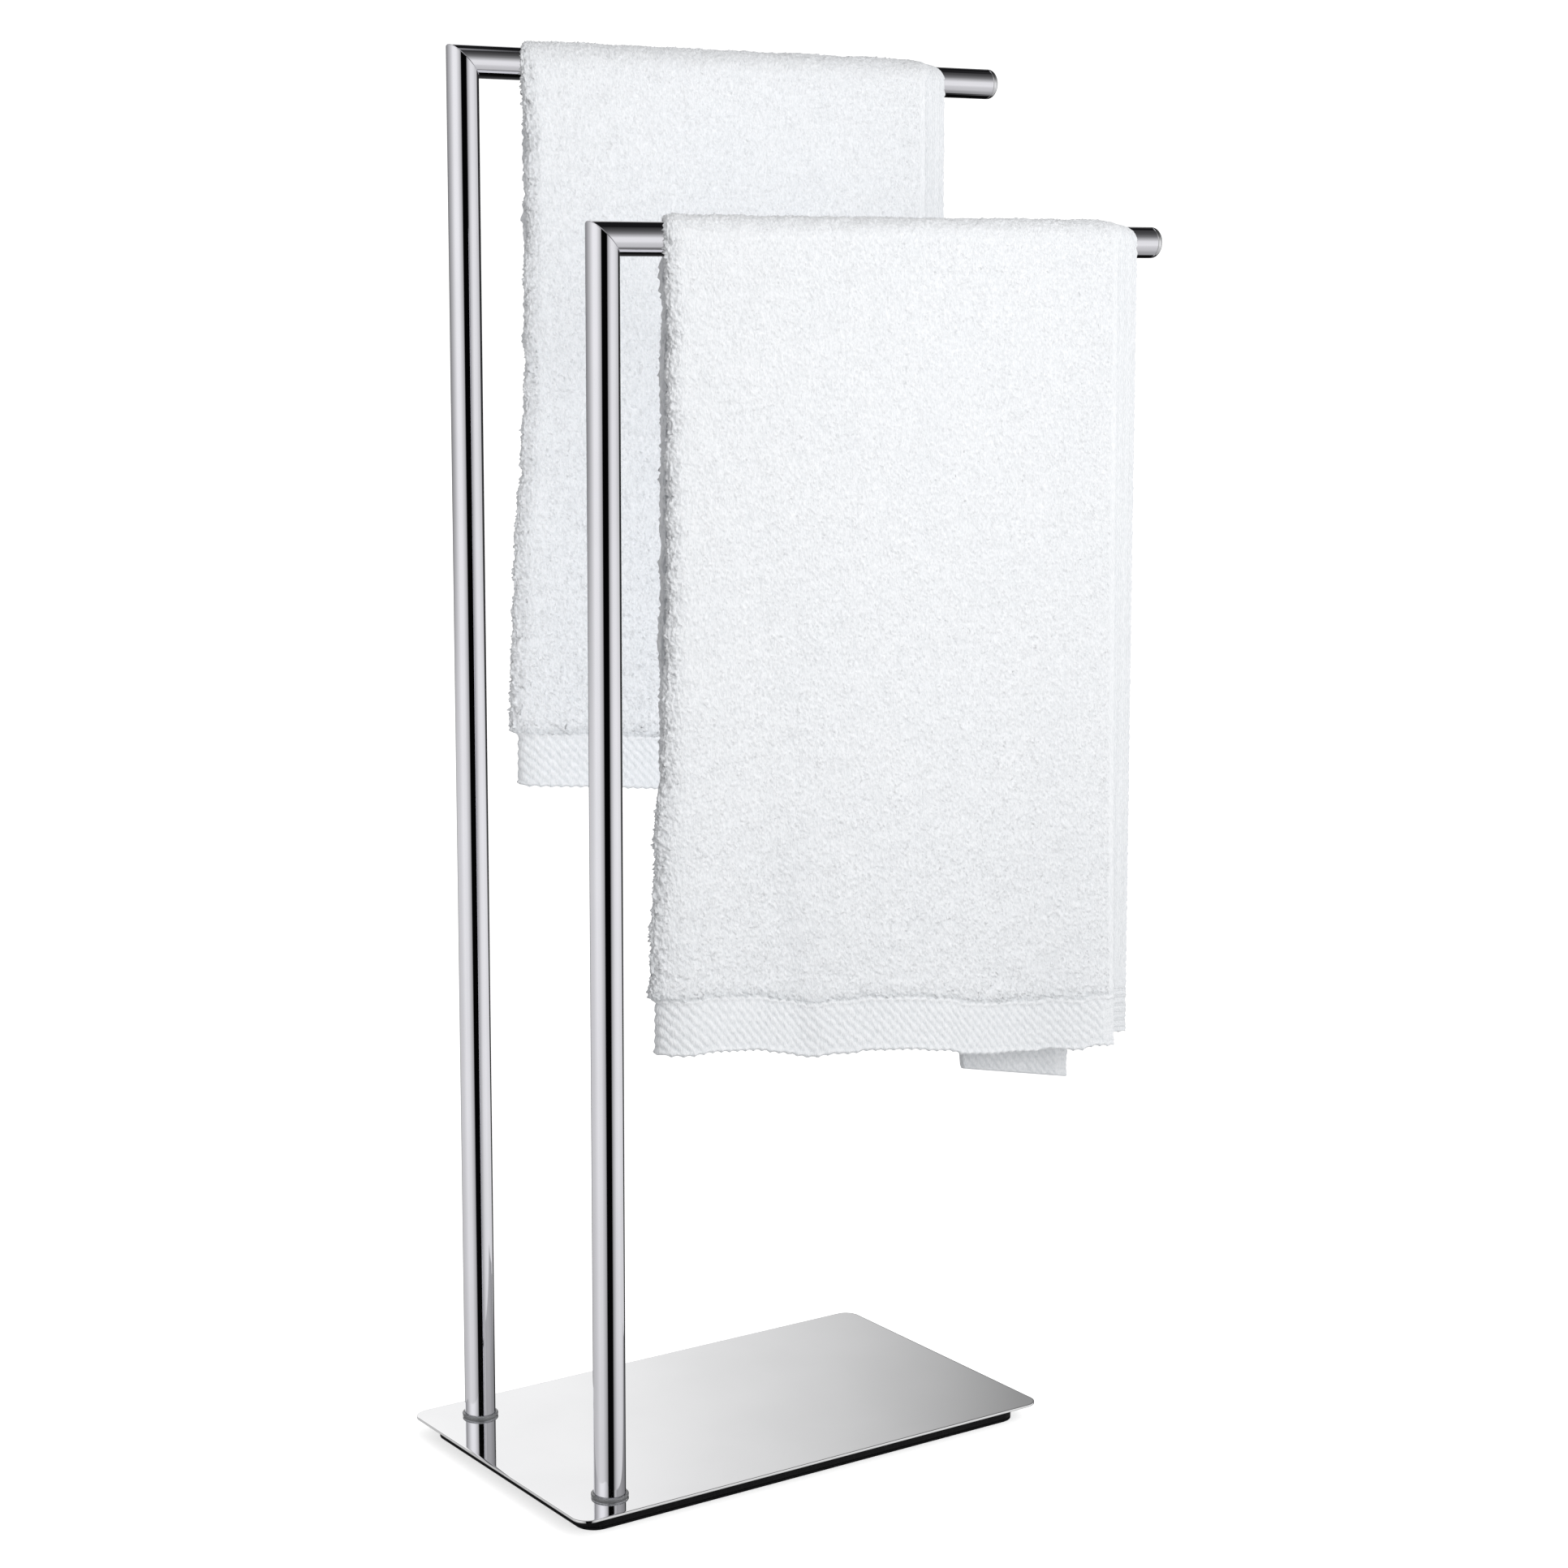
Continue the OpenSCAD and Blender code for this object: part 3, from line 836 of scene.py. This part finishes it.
        # From the fold's outermost line the outer layer rises as a quarter of an ellipse to its full height.
        low = self.front_depth ** 2
        rise_width = fold_r + p["swell_width"] + p["swell_hem_width"] * low
        rise = fold_r + (self.LAYER_GAP + p["swell"] + p["swell_hem"] * low) * (1 - over)
        level = 1 - np.clip((x_mid - self.flat_x + fold_r) / rise_width, 0, 1)
        upright = np.sqrt(1 - level ** 2)
        rising = (self.layer == 1) | (on_fold & (self.turn <= 90))
        mid_r = (self.mid_far + self.mid_near) / 2 + np.where(rising, rise * upright, fold_r * np.cos(turn))
        facing = np.where(rising, np.arctan2(rise * level, rise_width * upright), turn)

        hem = self.hem(x_mid)
        drop_z = hem * self.depth
        above_hem = np.where(bent, 1.0, -hem * (1 - self.depth))       # along the drop, from its hem
        # (u, v) runs along the sheet, so that the loops keep their size round the fold and over the arm.
        arc_v = self.mid_far * math.pi
        v = np.where(front, drop_z, np.where(back, arc_v - drop_z, self.bend * arc_v)) + np.zeros(shape)
        run = x_mid - self.flat_x
        round_fold = fold_r + SHEET_HALF
        u = np.where(on_fold, -round_fold * turn, np.where(self.layer == 1, run, -round_fold * math.pi - run))

        pile, woven, painted_shading = self.relief(u, v, x_mid, above_hem)
        lip = np.sqrt(np.clip(1 - (1 - np.clip(above_hem / self.LIP, 0, 1)) ** 2, 0.12, 1))
        half = SHEET_HALF * (self.HEM_SHARE + (1 - self.HEM_SHARE) * lip) * (1 - (1 - PRESSED) * over)
        roll = np.radians(self.roll)
        face = np.where(self.roll > 0, np.cos(roll), self.side)
        thick = half * face + (pile + woven) * np.where(self.roll > 0, 0, self.side) * lip
        edge_out = half * np.sin(roll)

        # In a drop's section: out is away from the arm, and side is along +X.
        out_r = thick * np.cos(facing)
        side_x = -thick * np.sin(facing) + edge_out
        lean = self.lean * pile
        x = x_mid + side_x + lean * 0.5
        r = mid_r + out_r
        angle = np.where(bent, self.bend * math.pi, np.where(back, math.pi, 0.0))
        sway = self.sway(x_mid, drop_z)
        y = self.y - r * np.cos(angle) + np.where(back, sway, -sway)
        z = self.z + np.where(bent, r * np.sin(angle), drop_z) - np.where(bent, 0, lean * 0.6)
        points = np.stack([x, y, z], -1).reshape(-1, 3)
        self.add(points, painted_shading.reshape(-1), shape, material)

    def relief(self, u, v, x, above_hem):
        """Height of the loops, height of the woven relief, and the painted light and shade of each point."""
        p = self.plan
        far_out = (self.layer == 1) & (self.side > 0)
        fold_out = (self.layer == 0) & (self.side > 0)
        near_out = (self.layer == 2) & (self.side > 0)
        outside = far_out | fold_out | near_out
        strip = (self.layer == 2) & (self.side < 0)
        selvedge = ease(2.5 * MM, 5.5 * MM, self.from_edge)
        woven = 1 - ease(self.BAND + 0.6 * MM, self.BAND + 3.2 * MM, above_hem)

        # The loops, with spikes along the fold, are taller towards the front hem and just above the band.
        tufts = np.abs(look_up(self.tuft, u, v))
        curls = np.abs(look_up(self.curl, u + 31 * MM, v - 17 * MM))
        cloud = look_up(self.cloud, u, v)
        height = np.clip(0.62 * tufts + 0.38 * curls, 0, 1.7) / 1.7
        loops = selvedge * (1 - woven)
        rim = 1.1 * np.where(fold_out, 1.0, ease(8 * MM, 1 * MM, x - self.flat_x))
        rim = np.maximum(rim * (1 - 0.5 * self.over), 0.35 * self.over)
        rim = np.where(near_out, 0, rim)
        spikes = np.clip(np.abs(look_up(self.loop_rim, u, v)), 0, 2.2) - 0.6
        low = self.front_depth ** 3
        near_band = ease(self.BAND + 13 * MM, self.BAND + 3 * MM, above_hem)
        taller = self.LOOP_MM + 0.5 * low + 0.7 * near_band
        tall = taller * MM * height + self.SPIKE_HEIGHT * rim * spikes
        amount = np.where(far_out | fold_out, 1.0, np.where(near_out, 0.5, 0.0))
        pile = amount * loops * (tall + 0.2 * MM * cloud)
        self.lean = np.where(far_out | fold_out, curls * 0.35, 0)

        # The band's diagonal ribs, which end short of the open edge, the ridge above it and the rolled hem.
        slant = x + self.RIB_SLANT * above_hem
        rib = np.abs(np.sin(math.pi * slant / self.RIB)) ** 0.65
        ribbed = ease(7.0 * MM, 9.5 * MM, self.from_edge)
        across = np.sin(2 * math.pi * above_hem / self.CORD)
        weave = np.sin(2 * math.pi * (x - 0.9 * above_hem) / (2.6 * MM))
        in_band = woven * ease(0.2 * MM, 1.5 * MM, above_hem)
        knots = look_up(self.curl, u * 0.6, v * 0.6)
        cords = rib * (self.RIB_HEIGHT + 0.12 * MM * weave) + 0.1 * MM * knots
        ribs = in_band * (ribbed * cords + (1 - ribbed) * 0.2 * MM * across)
        on_ridge = np.exp(-((above_hem - self.BAND - 0.3 * MM) / (0.75 * MM)) ** 2)
        hem_roll = 0.7 * MM * ease(3.4 * MM, 1.2 * MM, above_hem)
        relief = np.where(outside, ribs + self.RIDGE_HEIGHT * on_ridge + hem_roll, 0)
        lines = np.sin(2 * math.pi * self.from_edge / self.CORD)
        cords_of_strip = np.where(above_hem < self.BAND, 0.4 * MM * across, 0.2 * MM * lines)
        relief = np.where(strip, cords_of_strip + hem_roll, relief)

        # Painted light and shade: tips and ribs are painted light, and the gaps between them and the cloth
        # below the ridge are painted in shade.
        light_band = ribbed * (0.7 * rib ** 1.6 + 0.12 * knots) + (1 - ribbed) * (0.6 + 0.25 * across)
        # Painted shade: the loops are darker just above the band and towards the front hem, and their tips
        # lighter than the gaps.
        light_loops = loops * (0.34 - 0.12 * near_band - 0.08 * low + 0.72 * height)
        light_edge = (1 - selvedge) * (1 - woven) * 0.6
        painted_shading = np.where(outside, light_loops + woven * light_band + light_edge, 0.5)
        # Painted highlight along the ridge above the band.
        painted_shading = painted_shading + on_ridge * 0.4
        # Painted shade between the strip's cords, a painted shadow where the strip passes under the outer
        # layer's edge, and painted shade along its open edge.
        light_strip = 0.42 + 0.4 * np.where(above_hem < self.BAND, across, lines)
        light_strip = light_strip - 0.9 * ease(p["strip"] - 3 * MM, p["strip"] + 1 * MM, self.from_edge)
        painted_shading = np.where(strip, light_strip - 0.4 * ease(1.4 * MM, 0.2 * MM, self.from_edge), painted_shading)
        # Painted shade along the underside of the rolled hem.
        painted_shading = painted_shading - 0.5 * ease(1.6 * MM, 0.3 * MM, above_hem)
        # Painted shadow on the cloth just above the ridge.
        shadow_over_ridge = ease(self.BAND + 1.0 * MM, self.BAND + 2.2 * MM, above_hem)
        shadow_over_ridge = 0.7 * shadow_over_ridge * ease(self.BAND + 6 * MM, self.BAND + 2.2 * MM, above_hem)
        painted_shading = painted_shading - np.where(outside, shadow_over_ridge, 0)
        return pile, relief, np.clip(painted_shading, 0, 1)

    def strip_between_edges(self, cols):
        """Triangles that close a row's loop: a strip from one open edge, round the fold, to the other,
        between the sheet's outer and inner side."""
        layer, s, turn, roll = (a[0] for a in (self.layer, self.s, self.turn, self.roll))
        at = np.where(layer == 1, 1 - s, np.where(layer == 0, 1 + turn / 180, 2 + s))
        at = np.where(roll > 0, np.where(layer == 1, -0.5, 3.5), at)
        start = int(np.where((layer == 1) & (roll == 90))[0][0])
        end = int(np.where((layer == 2) & (roll == 90))[0][0])
        outer = list(range(start, cols)) + list(range(0, end + 1))
        inner = list(range(start, end - 1, -1))
        at[start], at[end] = -1, 4
        first, second = [], []
        i = j = 0
        while i < len(outer) - 1 or j < len(inner) - 1:
            if j == len(inner) - 1 or (i < len(outer) - 1 and at[outer[i + 1]] <= at[inner[j + 1]]):
                first.append([outer[i], outer[i + 1], inner[j]])
                i += 1
            else:
                second.append([outer[i], inner[j + 1], inner[j]])
                j += 1
        return [t for t in first + second if len(set(t)) == 3]

    def add(self, points, painted_shading, shape, material):
        rows, cols = shape
        index = np.arange(rows * cols).reshape(rows, cols)
        a, b = index[:-1], index[1:]
        quads = np.stack([a, np.roll(a, -1, 1), np.roll(b, -1, 1), b], -1).reshape(-1, 4)
        faces = [list(f) for f in quads.tolist()]
        closing = self.strip_between_edges(cols)
        faces += [t[::-1] for t in closing]
        last = (rows - 1) * cols
        faces += [[k + last for k in t] for t in closing]
        name = self.which + "_terry_towel"
        mesh = bpy.data.meshes.new(name)
        mesh.from_pydata(points.tolist(), [], faces)
        mesh.update()
        mesh.shade_smooth()
        # The painted light and shade of each point, which the terry material reads as colour.
        attribute = mesh.attributes.new("painted_shading", "FLOAT", "POINT")
        attribute.data.foreach_set("value", painted_shading.astype(np.float32))
        mesh.materials.append(material)
        piece = bpy.data.objects.new(name, mesh)
        bpy.context.scene.collection.objects.link(piece)
        body = self.which + "_towel"
        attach(piece, body)
        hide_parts(body)
        piece.visible_glossy = False        # the polished tubes mirror the studio alone


def towel_plan(which, width, start, front_drop, back_drop, **more):
    """How a towel hangs. x0 is the fold over the arm, x1 the open edge. Drops and z are from the arm's axis.
    folds: (x, width, amount, power). creases: (x, z, run along x, run along z, width, depth). waist: (share
    of the drop, inset of the fold). hem_line: (x, rise of the front hem)."""
    x0 = POST[which].x + start
    plan = {
        "width": width, "x0": x0, "x1": x0 + width, "spread_folded": 7 * MM, "spread_open": 4 * MM,
        "back_inset": 19 * MM, "back_short": 22 * MM, "neck": 7 * MM,
        "strip": 18 * MM, "strip_over": 11 * MM, "back_strip": 4 * MM, "inner_short": 5.5 * MM,
        "front_drop": front_drop, "front_fall": 0.119 * width, "hem_line": [(0.0, 0.0)], "wave": 0.4 * MM,
        "swell": 0.6 * MM, "swell_width": 7 * MM, "swell_hem": 5.2 * MM, "swell_hem_width": 20 * MM,
        "back_drop": back_drop, "back_fall": 0.15 * width,
        "corner_x": 1.0, "corner_drop": 0, "corner_slope": 0.06, "folds": [], "creases": [],
        "waist": [(0, 4 * MM), (0.1, 8 * MM), (0.2, 8 * MM), (0.3, 7.5 * MM), (0.42, 8 * MM), (0.54, 6 * MM),
                  (0.63, 1.5 * MM), (0.77, 0), (0.85, -1 * MM), (1, -1 * MM)],
    }
    plan.update(more)
    return plan


def make_towels(material):
    front = towel_plan(
        "front", 349 * MM, 27 * MM, 461.5 * MM, 443 * MM, seed=11, flat=(0.700, 1.000),
        front_fall=0.135 * 349 * MM, back_short=25.5 * MM, corner_x=0.1315, corner_drop=31.2 * MM,
        folds=[(-0.028, 0.030, -5.0 * MM, 2.5), (0.160, 0.030, -5.5 * MM, 1.2), (0.070, 0.050, 4.0 * MM, 1.6),
               (-0.090, 0.030, 4.0 * MM, 2.0), (0.215, 0.030, 3.5 * MM, 1.6)],
        hem_line=[(-0.114, 0.6 * MM), (-0.095, 0.8 * MM), (-0.078, 3.4 * MM), (-0.060, 2.7 * MM),
                  (-0.045, 2.3 * MM), (-0.024, 0.0), (-0.006, -2.7 * MM), (0.014, 0.6 * MM),
                  (0.040, 3.3 * MM), (0.062, 3.9 * MM), (0.090, 2.6 * MM), (0.112, -1.0 * MM),
                  (0.134, -2.0 * MM), (0.156, -1.6 * MM), (0.190, 1.0 * MM), (0.220, 4.6 * MM),
                  (0.245, 5.5 * MM)],
        waist=[(0, 6 * MM), (0.1, 9.5 * MM), (0.3, 9.5 * MM), (0.45, 10 * MM), (0.6, 7.5 * MM),
               (0.75, 3 * MM), (0.9, 1 * MM), (1, 1 * MM)],
        creases=[(-0.034, -0.344, 0.024, -0.130, 9 * MM, 1.8 * MM)],
    )
    back = towel_plan(
        "back", 316 * MM, 29 * MM, 429 * MM, 415 * MM, seed=37, flat=(0.640, 0.920),
        front_fall=0.106 * 316 * MM,
        folds=[(-0.030, 0.040, 4.0 * MM, 1.6), (0.050, 0.040, -4.0 * MM, 1.6), (0.140, 0.050, 4.0 * MM, 1.8)],
    )
    Towel("front", front).build(material)
    Towel("back", back).build(material)


# ---------------- the scene


def main():
    bpy.context.scene.view_settings.view_transform = "Standard"
    make_camera()
    make_world()
    make_lights()
    make_floor()
    chrome = polished("chrome", (0.89, 0.885, 0.93, 1), 0.035, 0.03, grain=(1, 1, 0.02))
    cap = polished("cap_chrome", (0.86, 0.86, 0.88, 1), 0.1, 0.05)
    plate = polished("mirror_steel", (0.93, 0.93, 0.94, 1), 0.02, 0.02, grain=(0.02, 1, 1))
    black = (0.004, 0.004, 0.005, 1)
    weight = painted("black_enamel", black, (0.010, 0.010, 0.011, 1), 0.5, 900.0, 0.2, shine=0.12)
    rubber = painted("black_rubber", black, (0.014, 0.014, 0.015, 1), 0.8, 1400.0, 0.5, shine=0.15)
    zinc, bright_zinc = (0.42, 0.43, 0.44, 1), (0.60, 0.61, 0.63, 1)
    steel = painted("zinc_steel", zinc, bright_zinc, 0.3, 700.0, 0.15, metallic=1.0)
    film = painted("adhesive_film", (0.55, 0.54, 0.47, 1), (0.66, 0.65, 0.58, 1), 0.5, 300.0, 0.3)
    for which in FRAMES:
        make_frame(which, chrome, cap)
        make_seat_ring(which, seat_ring_plastic())
    make_base(plate, weight, rubber)
    dress_fixings(steel, film)
    make_towels(terry())


main()
